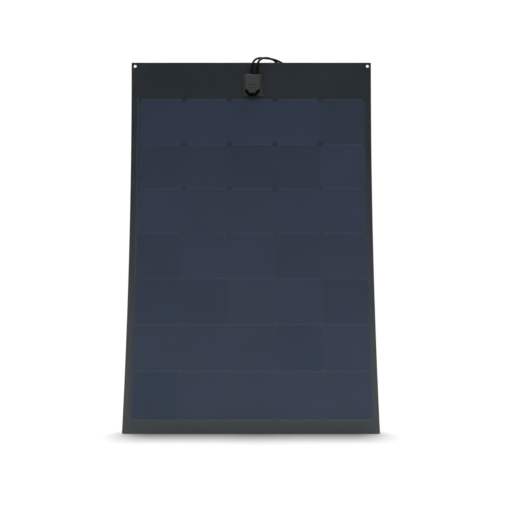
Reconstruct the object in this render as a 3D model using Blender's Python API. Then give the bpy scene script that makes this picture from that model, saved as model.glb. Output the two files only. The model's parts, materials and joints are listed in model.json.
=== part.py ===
"""Flexible solar sheet with a junction box and two leads, hung by its two corner holes.

Metres, +Z up. The origin is midway between the two hanging holes, on the rear face.
The front of the sheet faces -Y and the sheet bows gently forward from top to bottom.
"""

import math

import bmesh
import bpy
from mathutils import Matrix, Vector

# ---- Sheet ----
SHEET_WIDTH = 0.672
SHEET_LENGTH = 1.022  # measured along the sheet, laid flat
BOW_RADIUS = 3.30  # of the arc that the hanging sheet takes
CORNER_HOLE_INSET = 0.010  # from the top edge and from the side edge
CORNER_HOLE_RADIUS = 0.004

# ---- Cells ----
COLUMNS = 5
ROWS = 7
CELL_SIDE = 0.125
CELL_CHAMFER = 0.0075
COLUMN_PITCH = 0.127
ROW_PITCH = 0.126
TOP_MARGIN = 0.105  # from the top edge to the first row of cells
CELLS_SHIFT_X = 0.0025  # the wider left border carries the return ribbon
BEND_AFTER_ROW = 4  # the row above the line that the sheet bends about

# ---- Layers, as depths measured forward from the rear face ----
BOARD_DEPTHS = (0.0, 0.0015)
REAR_ENCAPSULANT_DEPTHS = (0.00155, 0.00195)
CELL_DEPTHS = (0.0020, 0.0022)
FRONT_FILM_DEPTHS = (0.00255, 0.00285)
BOARD_SPLIT_GAP = 0.0007

# ---- Ribbons, in the cells' layer ----
RIBBON_WIDTH = 0.005
LINK_CLEARANCE = 0.0015  # between a row of cells and the ribbon along it
TAIL_WIDTH = 0.004
TAIL_THICKNESS = 0.0003
TAIL_HEIGHT = 0.0075

# ---- Junction box, centred over the cells' third column ----
BOX_X = 0.0034
FLANGE_WIDTH = 0.054
FLANGE_TOP = 0.033  # down from the sheet's top edge
FLANGE_BOTTOM = 0.094
FLANGE_DEPTHS = (0.0032, 0.0052)
LID_WIDTH = 0.040
LID_TOP = 0.0365
LID_BOTTOM = 0.0925
LID_DEPTHS = (0.0149, 0.0179)
LID_THICKNESS = 0.0015
LID_SKIRT = 0.0012
LID_CLEARANCE = 0.0004
WALL = 0.0018
WALL_TOP_DEPTH = 0.0159
UPPER_CHAMFER = 0.002
LOWER_CHAMFER = 0.009
SLOT_TOP = 0.0775
SLOT_BOTTOM = 0.0825
SLOT_WIDTH = 0.030
TERMINAL_PITCH = 0.012
TERMINAL_WIDTH = 0.005
TERMINAL_THICKNESS = 0.0008
TERMINAL_TOP = 0.0600
TERMINAL_BOTTOM = 0.0765
TERMINAL_HEIGHT = 0.0045
DIODE_RADIUS = 0.0023
DIODE_LENGTH = 0.0050
DIODE_LEAD_RADIUS = 0.0005

# ---- Ports, boots and leads ----
PORT_DEPTH = 0.0094
PORT_OFFSETS = {"negative": -0.0005, "positive": 0.0135}
PORT_RADIUS = 0.0043
PORT_END = 0.0285  # down from the sheet's top edge
BORE_RADIUS = 0.0034
CABLE_RADIUS = 0.0030
BOOT_RADII = (0.0043, 0.0038)
BOOT_LENGTH = 0.017
SMALL_GAP = 0.0003
CABLE_POINT_PITCH = 0.012

# Each lead's route: up out of its port, over the sheet's top edge to the right,
# and down behind the sheet, where it hangs straight.
NEGATIVE_ROUTE = (
    (0.0029, -0.0094, -0.036),
    (0.0029, -0.0094, -0.026),
    (0.0029, -0.0094, -0.016),
    (0.0029, -0.0094, -0.007),
    (0.0029, -0.0094, -0.0015),
    (0.0044, -0.0092, 0.0071),
    (0.0088, -0.0080, 0.0146),
    (0.0155, -0.0056, 0.0201),
    (0.0240, -0.0022, 0.0231),
    (0.0390, 0.0042, 0.0242),
    (0.0535, 0.0100, 0.0241),
    (0.0660, 0.0146, 0.0225),
    (0.0770, 0.0186, 0.0194),
    (0.0870, 0.0218, 0.0149),
    (0.0965, 0.0245, 0.0089),
    (0.1050, 0.0266, 0.0011),
    (0.1120, 0.0280, -0.0087),
    (0.1170, 0.0287, -0.0197),
    (0.1200, 0.0290, -0.0320),
    (0.1213, 0.0291, -0.0460),
    (0.1215, 0.0291, -0.0600),
    (0.1215, 0.0291, -0.1200),
    (0.1215, 0.0291, -0.3000),
    (0.1215, 0.0291, -0.6520),
)
POSITIVE_ROUTE = (
    (0.0169, -0.0094, -0.036),
    (0.0169, -0.0094, -0.026),
    (0.0169, -0.0094, -0.016),
    (0.0169, -0.0094, -0.007),
    (0.0169, -0.0094, -0.0015),
    (0.0184, -0.0094, 0.0068),
    (0.0226, -0.0091, 0.0141),
    (0.0291, -0.0081, 0.0195),
    (0.0370, -0.0060, 0.0223),
    (0.0450, -0.0033, 0.0227),
    (0.0535, 0.0002, 0.0218),
    (0.0618, 0.0038, 0.0191),
    (0.0686, 0.0070, 0.0152),
    (0.0745, 0.0099, 0.0100),
    (0.0798, 0.0127, 0.0026),
    (0.0838, 0.0150, -0.0062),
    (0.0868, 0.0169, -0.0170),
    (0.0885, 0.0181, -0.0290),
    (0.0892, 0.0187, -0.0420),
    (0.0893, 0.0189, -0.0560),
    (0.0893, 0.0189, -0.1200),
    (0.0893, 0.0189, -0.3000),
    (0.0893, 0.0189, -0.6925),
)

# ---- Connectors, hanging at the leads' ends; heights run down from the nut's top ----
NUT_LENGTH = 0.018
NUT_RADIUS = 0.0085
NUT_NOSE_RADIUS = 0.0055
NECK_RADIUS = 0.0058
NECK_TOP = 0.0050
BARREL_RADIUS = 0.0085
BARREL_TOP = 0.0183
BARREL_BOTTOM = 0.0400
NOSE_RADIUS = 0.0045
PLUG_LENGTH = 0.0580
SOCKET_LENGTH = 0.0600
SOCKET_BORE_RADIUS = 0.0051
CABLE_END_INSIDE = 0.0150  # the cable ends this far below the nut's top
LATCH_WIDTH = 0.004
LATCH_THICKNESS = 0.0016

ROUND_STEPS = 24
NUT_STEPS = 12


# ---- Placing things on the bowed sheet ----
FLAT_ANGLE = (TOP_MARGIN - (ROW_PITCH - CELL_SIDE) / 2) / 2 / BOW_RADIUS
FLAT_MIDDLE = FLAT_ANGLE * BOW_RADIUS


def stations():
    """Distances down the sheet where one flat facet meets the next."""
    half_gap = (ROW_PITCH - CELL_SIDE) / 2
    edges = [TOP_MARGIN - half_gap + row * ROW_PITCH for row in range(ROWS + 1)]
    return [0.0] + edges + [SHEET_LENGTH]


def on_arc(down, depth):
    """(y, z) of a point that lies down the arc and depth forward of its rear face."""
    angle = (down - FLAT_MIDDLE) / BOW_RADIUS
    y = BOW_RADIUS * (math.cos(angle) - math.cos(FLAT_ANGLE)) - depth * math.cos(angle)
    z = CORNER_HOLE_INSET - BOW_RADIUS * (math.sin(angle) + math.sin(FLAT_ANGLE))
    return y, z + depth * math.sin(angle)


def on_facet(x, down, depth):
    """A point on the flat facet that this distance down falls on."""
    edges = stations()
    index = max(i for i in range(len(edges) - 1) if i == 0 or edges[i] <= down + 1e-9)
    start, end = edges[index], edges[index + 1]
    share = (down - start) / (end - start)
    first = Vector(on_arc(start, depth))
    second = Vector(on_arc(end, depth))
    y, z = first.lerp(second, share)
    return Vector((x, y, z))


def facet_matrix(x, down, depth):
    """Local X is across, local Y up the sheet and local Z forward out of its face."""
    lower = on_facet(x, down + 0.001, 0.0)
    upper = on_facet(x, down - 0.001, 0.0)
    up = (upper - lower).normalized()
    across = Vector((1.0, 0.0, 0.0))
    turn = Matrix((across, up, across.cross(up))).transposed().to_4x4()
    return Matrix.Translation(on_facet(x, down, depth)) @ turn


# ---- Materials and objects ----
def linear(channel):
    return channel / 12.92 if channel <= 0.04045 else ((channel + 0.055) / 1.055) ** 2.4


def material(name, colour, roughness, metallic=0.0):
    """A Principled BSDF material whose colour is an sRGB hex value."""
    made = bpy.data.materials.new(name)
    made.use_nodes = True
    shader = made.node_tree.nodes["Principled BSDF"]
    rgb = [linear(int(colour[i : i + 2], 16) / 255) for i in (1, 3, 5)]
    shader.inputs["Base Color"].default_value = (*rgb, 1.0)
    shader.inputs["Roughness"].default_value = roughness
    shader.inputs["Metallic"].default_value = metallic
    return made


def add_object(name, bm, finish, matrix=None):
    """Make a mesh object of a bmesh, with its faces pointing out."""
    bmesh.ops.recalc_face_normals(bm, faces=bm.faces)
    mesh = bpy.data.meshes.new(name)
    bm.to_mesh(mesh)
    bm.free()
    obj = bpy.data.objects.new(name, mesh)
    bpy.context.scene.collection.objects.link(obj)
    if matrix is not None:
        obj.matrix_world = matrix
    if finish is not None:
        mesh.materials.append(finish)
    return obj


def smooth(obj):
    obj.data.shade_smooth()
    obj.data.set_sharp_from_angle(angle=math.radians(40))


def combine(target, tool, operation):
    """Join a helper to the target, or cut it away, with an exact Boolean."""
    tool.hide_render = True
    tool.display_type = "WIRE"
    boolean = target.modifiers.new(tool.name, "BOOLEAN")
    boolean.operation = operation
    boolean.solver = "EXACT"
    boolean.object = tool


def prism(outline, low, high):
    """A bmesh of an outline in X and Y, extruded along Z."""
    bm = bmesh.new()
    face = bm.faces.new([bm.verts.new((x, y, low)) for x, y in outline])
    grown = bmesh.ops.extrude_face_region(bm, geom=[face])
    verts = [v for v in grown["geom"] if isinstance(v, bmesh.types.BMVert)]
    bmesh.ops.translate(bm, verts=verts, vec=(0.0, 0.0, high - low))
    return bm


def block(low, high):
    """A bmesh box between two corners."""
    corners = ((low[0], low[1]), (high[0], low[1]), (high[0], high[1]), (low[0], high[1]))
    return prism(corners, low[2], high[2])


def rod(radius, low, high, steps=ROUND_STEPS):
    """A bmesh cylinder along Z."""
    turns = [2 * math.pi * i / steps for i in range(steps)]
    return prism([(radius * math.cos(a), radius * math.sin(a)) for a in turns], low, high)


def turned(profile, steps=ROUND_STEPS):
    """A bmesh ring: a closed profile of (radius, height) spun about Z."""
    bm = bmesh.new()
    verts = [bm.verts.new((radius, 0.0, height)) for radius, height in profile]
    edges = [bm.edges.new((verts[i - 1], verts[i])) for i in range(len(verts))]
    bmesh.ops.spin(
        bm,
        geom=verts + edges,
        cent=(0, 0, 0),
        axis=(0, 0, 1),
        angle=2 * math.pi,
        steps=steps,
        use_merge=True,
    )
    bmesh.ops.remove_doubles(bm, verts=bm.verts, dist=1e-6)
    return bm


def inside(rectangles, x, down):
    return any(r[0] < x < r[1] and r[2] < down < r[3] for r in rectangles)


def sheet_piece(name, finish, depths, areas, holes=(), tails=()):
    """A thin piece in the laminate.

    Areas, holes and tails are (x low, x high, down low, down high). The piece covers
    its areas less its holes, follows the facets, and each tail turns up out of it.
    """
    every = tuple(areas) + tuple(holes) + tuple(tails)
    xs = sorted({round(v, 7) for r in every for v in r[:2]})
    low, high = min(r[2] for r in areas), max(r[3] for r in areas)
    bends = [s for s in stations() if low < s < high]
    downs = sorted({round(v, 7) for r in every for v in r[2:]} | {round(s, 7) for s in bends})
    bm = bmesh.new()
    grid = {}
    back = []
    for i in range(len(xs) - 1):
        for j in range(len(downs) - 1):
            x, down = (xs[i] + xs[i + 1]) / 2, (downs[j] + downs[j + 1]) / 2
            if not inside(areas, x, down) or inside(holes, x, down):
                continue
            corners = ((i, j), (i + 1, j), (i + 1, j + 1), (i, j + 1))
            for key in corners:
                if key not in grid:
                    grid[key] = bm.verts.new(on_facet(xs[key[0]], downs[key[1]], depths[0]))
            back.append((bm.faces.new([grid[key] for key in corners]), x, down))
    grown = bmesh.ops.extrude_face_region(bm, geom=[face for face, _, _ in back])
    bm.verts.index_update()
    places = {tuple(round(c, 7) for c in vert.co): key for key, vert in grid.items()}
    for vert in (v for v in grown["geom"] if isinstance(v, bmesh.types.BMVert)):
        i, j = places[tuple(round(c, 7) for c in vert.co)]
        vert.co = on_facet(xs[i], downs[j], depths[1])
    for tail in tails:
        middle = on_facet((tail[0] + tail[1]) / 2, (tail[2] + tail[3]) / 2, depths[1])
        face = min(bm.faces, key=lambda f: (f.calc_center_median() - middle).length)
        raised = bmesh.ops.extrude_face_region(bm, geom=[face])
        tips = [v for v in raised["geom"] if isinstance(v, bmesh.types.BMVert)]
        bmesh.ops.delete(bm, geom=[face], context="FACES_ONLY")
        bmesh.ops.translate(bm, verts=tips, vec=(0.0, -TAIL_HEIGHT, 0.0))
    return add_object(name, bm, finish)


# ---- The laminate ----
def whole_sheet(low, high):
    return ((-SHEET_WIDTH / 2, SHEET_WIDTH / 2, low, high),)


def cut_corner_holes(obj):
    """Cut the two hanging holes through one layer."""
    for side, sign in (("left", -1), ("right", 1)):
        x = sign * (SHEET_WIDTH / 2 - CORNER_HOLE_INSET)
        matrix = facet_matrix(x, CORNER_HOLE_INSET, 0.0)
        cutter = add_object(f"{obj.name}_{side}_hole", rod(CORNER_HOLE_RADIUS, -0.005, 0.01), None, matrix)
        combine(obj, cutter, "DIFFERENCE")


def ribbon_slot():
    return (BOX_X - SLOT_WIDTH / 2, BOX_X + SLOT_WIDTH / 2, SLOT_TOP, SLOT_BOTTOM)


def make_layers(finishes):
    bend = stations()[1 + BEND_AFTER_ROW]
    upper = sheet_piece(
        "backing_board_upper",
        finishes["board"],
        BOARD_DEPTHS,
        whole_sheet(0.0, bend - BOARD_SPLIT_GAP / 2),
    )
    sheet_piece(
        "backing_board_lower",
        finishes["board"],
        BOARD_DEPTHS,
        whole_sheet(bend + BOARD_SPLIT_GAP / 2, SHEET_LENGTH),
    )
    encapsulant = sheet_piece(
        "rear_encapsulant",
        finishes["encapsulant"],
        REAR_ENCAPSULANT_DEPTHS,
        whole_sheet(0.0, SHEET_LENGTH),
    )
    film = sheet_piece(
        "front_film",
        finishes["film"],
        FRONT_FILM_DEPTHS,
        whole_sheet(0.0, SHEET_LENGTH),
        holes=(ribbon_slot(),),
    )
    for layer in (upper, encapsulant, film):
        cut_corner_holes(layer)


def column_middle(column):
    return CELLS_SHIFT_X + (column - (COLUMNS - 1) / 2) * COLUMN_PITCH


def make_cells(finish):
    """Thin square wafers with clipped corners, all sharing one mesh."""
    half, clip = CELL_SIDE / 2, CELL_CHAMFER
    quarter = ((half - clip, -half), (half, clip - half))
    outline = []
    for turn in range(4):
        spun = Matrix.Rotation(turn * math.pi / 2, 2)
        outline += [tuple(spun @ Vector(corner)) for corner in quarter]
    thickness = CELL_DEPTHS[1] - CELL_DEPTHS[0]
    shared = None
    for row in range(ROWS):
        down = TOP_MARGIN + row * ROW_PITCH + CELL_SIDE / 2
        for column in range(COLUMNS):
            matrix = facet_matrix(column_middle(column), down, CELL_DEPTHS[0])
            name = f"cell_r{row + 1}_c{column + 1}"
            if shared is None:
                shared = add_object(name, prism(outline, 0.0, thickness), finish, matrix).data
                continue
            copy = bpy.data.objects.new(name, shared)
            bpy.context.scene.collection.objects.link(copy)
            copy.matrix_world = matrix


def span_of(first, last):
    """The X range that the cells of these columns cover."""
    low = column_middle(first - 1) - CELL_SIDE / 2 + CELL_CHAMFER
    return low, column_middle(last - 1) + CELL_SIDE / 2 - CELL_CHAMFER


def tail_at(x):
    """The small area at a ribbon's end, under the box's slot, that turns up into it."""
    down = (SLOT_TOP + SLOT_BOTTOM) / 2
    return (x - TAIL_WIDTH / 2, x + TAIL_WIDTH / 2, down - TAIL_THICKNESS, down)


def make_ribbons(finish):
    """The ribbons that join the five strings of cells and lead to the box."""
    link_bottom = TOP_MARGIN - LINK_CLEARANCE
    link_top = link_bottom - RIBBON_WIDTH
    lead_bottom = link_top - LINK_CLEARANCE
    lead_top = lead_bottom - RIBBON_WIDTH
    foot_top = TOP_MARGIN + (ROWS - 1) * ROW_PITCH + CELL_SIDE + LINK_CLEARANCE
    foot_bottom = foot_top + RIBBON_WIDTH
    tail_low = (SLOT_TOP + SLOT_BOTTOM) / 2 - TAIL_THICKNESS
    half = RIBBON_WIDTH / 2

    for name, first, last in (("link_bottom_2_3", 2, 3), ("link_bottom_4_5", 4, 5)):
        sheet_piece(name, finish, CELL_DEPTHS, ((*span_of(first, last), foot_top, foot_bottom),))
    sheet_piece("link_top_1_2", finish, CELL_DEPTHS, ((*span_of(1, 2), link_top, link_bottom),))
    tap = (BOX_X - half, BOX_X + half, tail_low, link_top)
    sheet_piece(
        "link_top_3_4",
        finish,
        CELL_DEPTHS,
        ((*span_of(3, 4), link_top, link_bottom), tap),
        tails=(tail_at(BOX_X),),
    )

    edge = column_middle(0) - CELL_SIDE / 2 - LINK_CLEARANCE
    negative = BOX_X - TERMINAL_PITCH
    sheet_piece(
        "ribbon_negative",
        finish,
        CELL_DEPTHS,
        (
            (edge - RIBBON_WIDTH, edge, lead_top, foot_bottom),
            (edge - RIBBON_WIDTH, span_of(1, 1)[1], foot_top, foot_bottom),
            (edge - RIBBON_WIDTH, negative + half, lead_top, lead_bottom),
            (negative - half, negative + half, tail_low, lead_bottom),
        ),
        tails=(tail_at(negative),),
    )

    positive = BOX_X + TERMINAL_PITCH
    far = span_of(5, 5)
    sheet_piece(
        "ribbon_positive",
        finish,
        CELL_DEPTHS,
        (
            (far[0], far[1], lead_top, link_bottom),
            (positive - half, far[1], lead_top, lead_bottom),
            (positive - half, positive + half, tail_low, lead_bottom),
        ),
        tails=(tail_at(positive),),
    )


# ---- The junction box ----
def box_matrix():
    """The box's own frame: origin on the sheet's rear face at the top edge."""
    return facet_matrix(BOX_X, 0.001, 0.0) @ Matrix.Translation((0.0, 0.001, 0.0))


def box_outline(inset):
    """The lid's outline drawn in by this much: a rectangle with its lower corners clipped."""
    half = LID_WIDTH / 2 - inset
    top, bottom = -LID_TOP - inset, -LID_BOTTOM + inset
    upper, lower = UPPER_CHAMFER, LOWER_CHAMFER - inset * (2 - math.sqrt(2))
    right = ((half, bottom + lower), (half, top - upper), (half - upper, top))
    left = [(-x, y) for x, y in reversed(right)]
    return [*right, *left, (lower - half, bottom), (half - lower, bottom)]


def helper(name, bm, matrix):
    return add_object(name, bm, None, matrix)


def upward(x, depth, start):
    """A frame whose Z runs up the sheet from this distance down it."""
    return box_matrix() @ Matrix.Translation((x, -start, depth)) @ Matrix.Rotation(-math.pi / 2, 4, "X")


def make_box_base(finish):
    half = FLANGE_WIDTH / 2
    clip = 0.003
    top, bottom = -FLANGE_TOP, -FLANGE_BOTTOM
    right = ((half, bottom + clip), (half, top - clip), (half - clip, top))
    left = [(-x, y) for x, y in reversed(right)]
    outline = [*right, *left, (clip - half, bottom), (half - clip, bottom)]
    base = add_object("junction_box_base", prism(outline, *FLANGE_DEPTHS), finish, box_matrix())

    body_inset = LID_SKIRT + LID_CLEARANCE
    body = prism(box_outline(body_inset), FLANGE_DEPTHS[0] + 0.001, WALL_TOP_DEPTH)
    combine(base, helper("box_body", body, box_matrix()), "UNION")
    for name, offset in PORT_OFFSETS.items():
        spigot = rod(PORT_RADIUS, 0.0, LID_TOP + body_inset + 0.001 - PORT_END)
        start = upward(offset, PORT_DEPTH, LID_TOP + body_inset + 0.001)
        combine(base, helper(f"box_spigot_{name}", spigot, start), "UNION")
    hollow = prism(box_outline(body_inset + WALL), FLANGE_DEPTHS[1], WALL_TOP_DEPTH + 0.01)
    combine(base, helper("box_hollow", hollow, box_matrix()), "DIFFERENCE")
    for name, offset in PORT_OFFSETS.items():
        start = upward(offset, PORT_DEPTH, LID_TOP + body_inset + 2 * WALL)
        combine(base, helper(f"box_bore_{name}", rod(BORE_RADIUS, 0.0, 0.03), start), "DIFFERENCE")
    slot = block((-SLOT_WIDTH / 2, -SLOT_BOTTOM, 0.0), (SLOT_WIDTH / 2, -SLOT_TOP, 0.010))
    combine(base, helper("box_slot", slot, box_matrix()), "DIFFERENCE")


def make_lid(finish):
    lid = add_object("junction_box_lid", prism(box_outline(0.0), *LID_DEPTHS), finish, box_matrix())
    hollow = prism(box_outline(LID_SKIRT), LID_DEPTHS[0] - 0.005, LID_DEPTHS[1] - LID_THICKNESS)
    combine(lid, helper("lid_hollow", hollow, box_matrix()), "DIFFERENCE")


def make_terminals(finish):
    """Three bent clips, each taking one ribbon tail."""
    low = FLANGE_DEPTHS[1] + SMALL_GAP
    for index, name in enumerate(("negative", "tap", "positive")):
        x = (index - 1) * TERMINAL_PITCH
        thick = TERMINAL_THICKNESS
        profile = (
            (-TERMINAL_BOTTOM, low),
            (-TERMINAL_TOP, low),
            (-TERMINAL_TOP, low + thick),
            (thick - TERMINAL_BOTTOM, low + thick),
            (thick - TERMINAL_BOTTOM, low + TERMINAL_HEIGHT),
            (-TERMINAL_BOTTOM, low + TERMINAL_HEIGHT),
        )
        bm = prism(profile, x - TERMINAL_WIDTH / 2, x + TERMINAL_WIDTH / 2)
        swap = Matrix(((0, 0, 1, 0), (1, 0, 0, 0), (0, 1, 0, 0), (0, 0, 0, 1)))
        add_object(f"terminal_{name}", bm, finish, box_matrix() @ swap)


def make_diodes(finish):
    """Two bypass diodes, each lying between two terminals."""
    low = FLANGE_DEPTHS[1] + SMALL_GAP
    middle_down = TERMINAL_BOTTOM - 0.0085
    lead = (TERMINAL_PITCH - TERMINAL_WIDTH) / 2 - SMALL_GAP
    for index, sign in ((1, -1), (2, 1)):
        place = Matrix.Translation((sign * TERMINAL_PITCH / 2, -middle_down, low + DIODE_RADIUS))
        matrix = box_matrix() @ place @ Matrix.Rotation(math.pi / 2, 4, "Y")
        half = DIODE_LENGTH / 2
        # The profile is turned about the axis, so it runs close to it and not onto it.
        core = 0.0001
        profile = (
            (core, -lead),
            (DIODE_LEAD_RADIUS, -lead),
            (DIODE_LEAD_RADIUS, -half),
            (DIODE_RADIUS, -half),
            (DIODE_RADIUS, half),
            (DIODE_LEAD_RADIUS, half),
            (DIODE_LEAD_RADIUS, lead),
            (core, lead),
        )
        diode = add_object(f"bypass_diode_{index}", turned(profile, NUT_STEPS), finish, matrix)
        smooth(diode)


# ---- Boots, leads and connectors ----
def make_boots(finish):
    """Tapered boots where the leads leave the box's ports."""
    for name, offset in PORT_OFFSETS.items():
        inner = CABLE_RADIUS + SMALL_GAP
        profile = (
            (inner, 0.0),
            (BOOT_RADII[0], 0.0),
            (BOOT_RADII[0], BOOT_LENGTH * 0.3),
            (BOOT_RADII[1], BOOT_LENGTH),
            (inner, BOOT_LENGTH),
        )
        start = upward(offset, PORT_DEPTH, PORT_END - SMALL_GAP)
        smooth(add_object(f"strain_relief_{name}", turned(profile), finish, start))


def smooth_route(route, per_span=12):
    """A Catmull-Rom curve through the route's points, as many fine points."""
    points = [Vector(p) for p in route]
    padded = [2 * points[0] - points[1], *points, 2 * points[-1] - points[-2]]
    fine = []
    for a, b, c, d in zip(padded, padded[1:], padded[2:], padded[3:]):
        # Centripetal spacing keeps the curve from swinging past its points.
        knots = [0.0]
        for p, q in ((a, b), (b, c), (c, d)):
            knots.append(knots[-1] + math.sqrt((q - p).length))
        for step in range(per_span):
            t = knots[1] + (knots[2] - knots[1]) * step / per_span
            level = [a, b, c, d]
            for width in (1, 2):
                spans = [(knots[i], knots[i + width]) for i in range(len(level) - 1)]
                pairs = zip(level, level[1:], spans)
                level = [p.lerp(q, (t - low) / (high - low)) for p, q, (low, high) in pairs]
            share = (t - knots[1]) / (knots[2] - knots[1])
            fine.append(level[0].lerp(level[1], share))
    return fine + [points[-1]]


def evenly(points, pitch):
    """Points at an even pitch along a fine polyline, its two ends among them."""
    lengths = [0.0]
    for p, q in zip(points, points[1:]):
        lengths.append(lengths[-1] + (q - p).length)
    count = max(2, round(lengths[-1] / pitch))
    picked = []
    index = 0
    for step in range(count + 1):
        wanted = lengths[-1] * step / count
        while index < len(points) - 2 and lengths[index + 1] < wanted:
            index += 1
        share = (wanted - lengths[index]) / (lengths[index + 1] - lengths[index])
        picked.append(points[index].lerp(points[index + 1], share))
    return picked


def make_cable(name, route, finish):
    """A lead as a round tube along its route."""
    curve = bpy.data.curves.new(name, "CURVE")
    curve.dimensions = "3D"
    curve.bevel_depth = CABLE_RADIUS
    curve.bevel_resolution = 3
    curve.use_fill_caps = True
    points = evenly(smooth_route(route), CABLE_POINT_PITCH)
    spline = curve.splines.new("POLY")
    spline.points.add(len(points) - 1)
    for point, place in zip(spline.points, points):
        point.co = (*place, 1.0)
    curve.materials.append(finish)
    bpy.context.scene.collection.objects.link(bpy.data.objects.new(name, curve))


def connector_frame(route):
    """A frame at the top of the connector's nut, on the hanging lead's axis."""
    end = Vector(route[-1])
    return Matrix.Translation((end.x, end.y, end.z + CABLE_END_INSIDE))


def make_nut(name, finish, matrix):
    """The gland nut: twelve-sided, open at both ends, over the body's neck."""
    cable, neck = CABLE_RADIUS + 0.0006, NECK_RADIUS + 0.0008
    profile = (
        (cable, 0.0),
        (NUT_NOSE_RADIUS, 0.0),
        (NUT_RADIUS, -0.006),
        (NUT_RADIUS, -NUT_LENGTH),
        (neck, -NUT_LENGTH),
        (neck, -0.0045),
        (cable, -0.0045),
    )
    add_object(name, turned(profile, NUT_STEPS), finish, matrix)


def make_plug(finish, matrix):
    """The lead's plug: a barrel, a nose that enters the socket, and two latch arms."""
    bore, core = CABLE_RADIUS + SMALL_GAP, 0.0020
    profile = (
        (bore, -NECK_TOP),
        (NECK_RADIUS, -NECK_TOP),
        (NECK_RADIUS, -BARREL_TOP),
        (BARREL_RADIUS, -BARREL_TOP),
        (BARREL_RADIUS, -BARREL_BOTTOM),
        (NOSE_RADIUS, -BARREL_BOTTOM),
        (NOSE_RADIUS, -PLUG_LENGTH),
        (core, -PLUG_LENGTH),
        (core, -CABLE_END_INSIDE - 0.001),
        (bore, -CABLE_END_INSIDE - 0.001),
    )
    body = add_object("plug_body", turned(profile), finish, matrix)
    smooth(body)
    inner = BARREL_RADIUS - 0.0006 - LATCH_THICKNESS
    for side in (-1, 1):
        xs = sorted((side * inner, side * (inner + LATCH_THICKNESS)))
        low = (xs[0], -LATCH_WIDTH / 2, -BARREL_BOTTOM - 0.014)
        high = (xs[1], LATCH_WIDTH / 2, -BARREL_BOTTOM + 0.001)
        combine(body, helper(f"plug_latch_{side}", block(low, high), matrix), "UNION")


def make_socket(finish, matrix):
    """The lead's socket: a barrel with a mouth for the nose and two latch windows."""
    bore, mouth_top = CABLE_RADIUS + SMALL_GAP, -0.0390
    profile = (
        (bore, -NECK_TOP),
        (NECK_RADIUS, -NECK_TOP),
        (NECK_RADIUS, -BARREL_TOP),
        (BARREL_RADIUS, -BARREL_TOP),
        (BARREL_RADIUS, -SOCKET_LENGTH),
        (SOCKET_BORE_RADIUS, -SOCKET_LENGTH),
        (SOCKET_BORE_RADIUS, mouth_top),
        (0.0026, mouth_top),
        (0.0026, -CABLE_END_INSIDE - 0.001),
        (bore, -CABLE_END_INSIDE - 0.001),
    )
    body = add_object("socket_body", turned(profile), finish, matrix)
    smooth(body)
    window = block((-0.012, -0.0025, -0.052), (0.012, 0.0025, -0.046))
    combine(body, helper("socket_windows", window, matrix), "DIFFERENCE")


def main():
    for obj in list(bpy.data.objects):
        bpy.data.objects.remove(obj, do_unlink=True)
    finishes = {
        "board": material("black glass-fibre board", "#1c1e20", 0.6),
        "encapsulant": material("black encapsulant", "#202327", 0.5),
        "film": material("clear textured film", "#2a2e33", 0.35),
        "cell": material("back-contact silicon", "#2f3546", 0.25),
        "ribbon": material("tinned copper ribbon", "#8d9094", 0.4, 1.0),
        "box": material("dark grey box moulding", "#3b403f", 0.55),
        "black": material("black moulding", "#0d1112", 0.5),
        "jacket": material("black cable jacket", "#0f1213", 0.45),
        "diode": material("black epoxy", "#17181a", 0.4),
    }
    make_layers(finishes)
    make_cells(finishes["cell"])
    make_ribbons(finishes["ribbon"])
    make_box_base(finishes["box"])
    make_lid(finishes["box"])
    make_terminals(finishes["ribbon"])
    make_diodes(finishes["diode"])
    make_boots(finishes["black"])
    make_cable("cable_negative", NEGATIVE_ROUTE, finishes["jacket"])
    make_cable("cable_positive", POSITIVE_ROUTE, finishes["jacket"])
    plug_frame = connector_frame(POSITIVE_ROUTE)
    socket_frame = connector_frame(NEGATIVE_ROUTE)
    make_plug(finishes["black"], plug_frame)
    make_nut("plug_nut", finishes["black"], plug_frame)
    make_socket(finishes["black"], socket_frame)
    make_nut("socket_nut", finishes["black"], socket_frame)


main()
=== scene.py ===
"""The flexible solar sheet's looks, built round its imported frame.

Metres, +Z up. The sheet hangs by its two corner holes with its front towards -Y, and
bows gently forward from top to bottom. Thin pieces are drawn flat, with X across, Y up
the sheet and Z forward out of its rear face, and are then wrapped onto the bow.
"""

from __future__ import annotations

import json
import logging
import math
from dataclasses import dataclass, field
from enum import Enum
from typing import Iterable, Sequence

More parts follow.
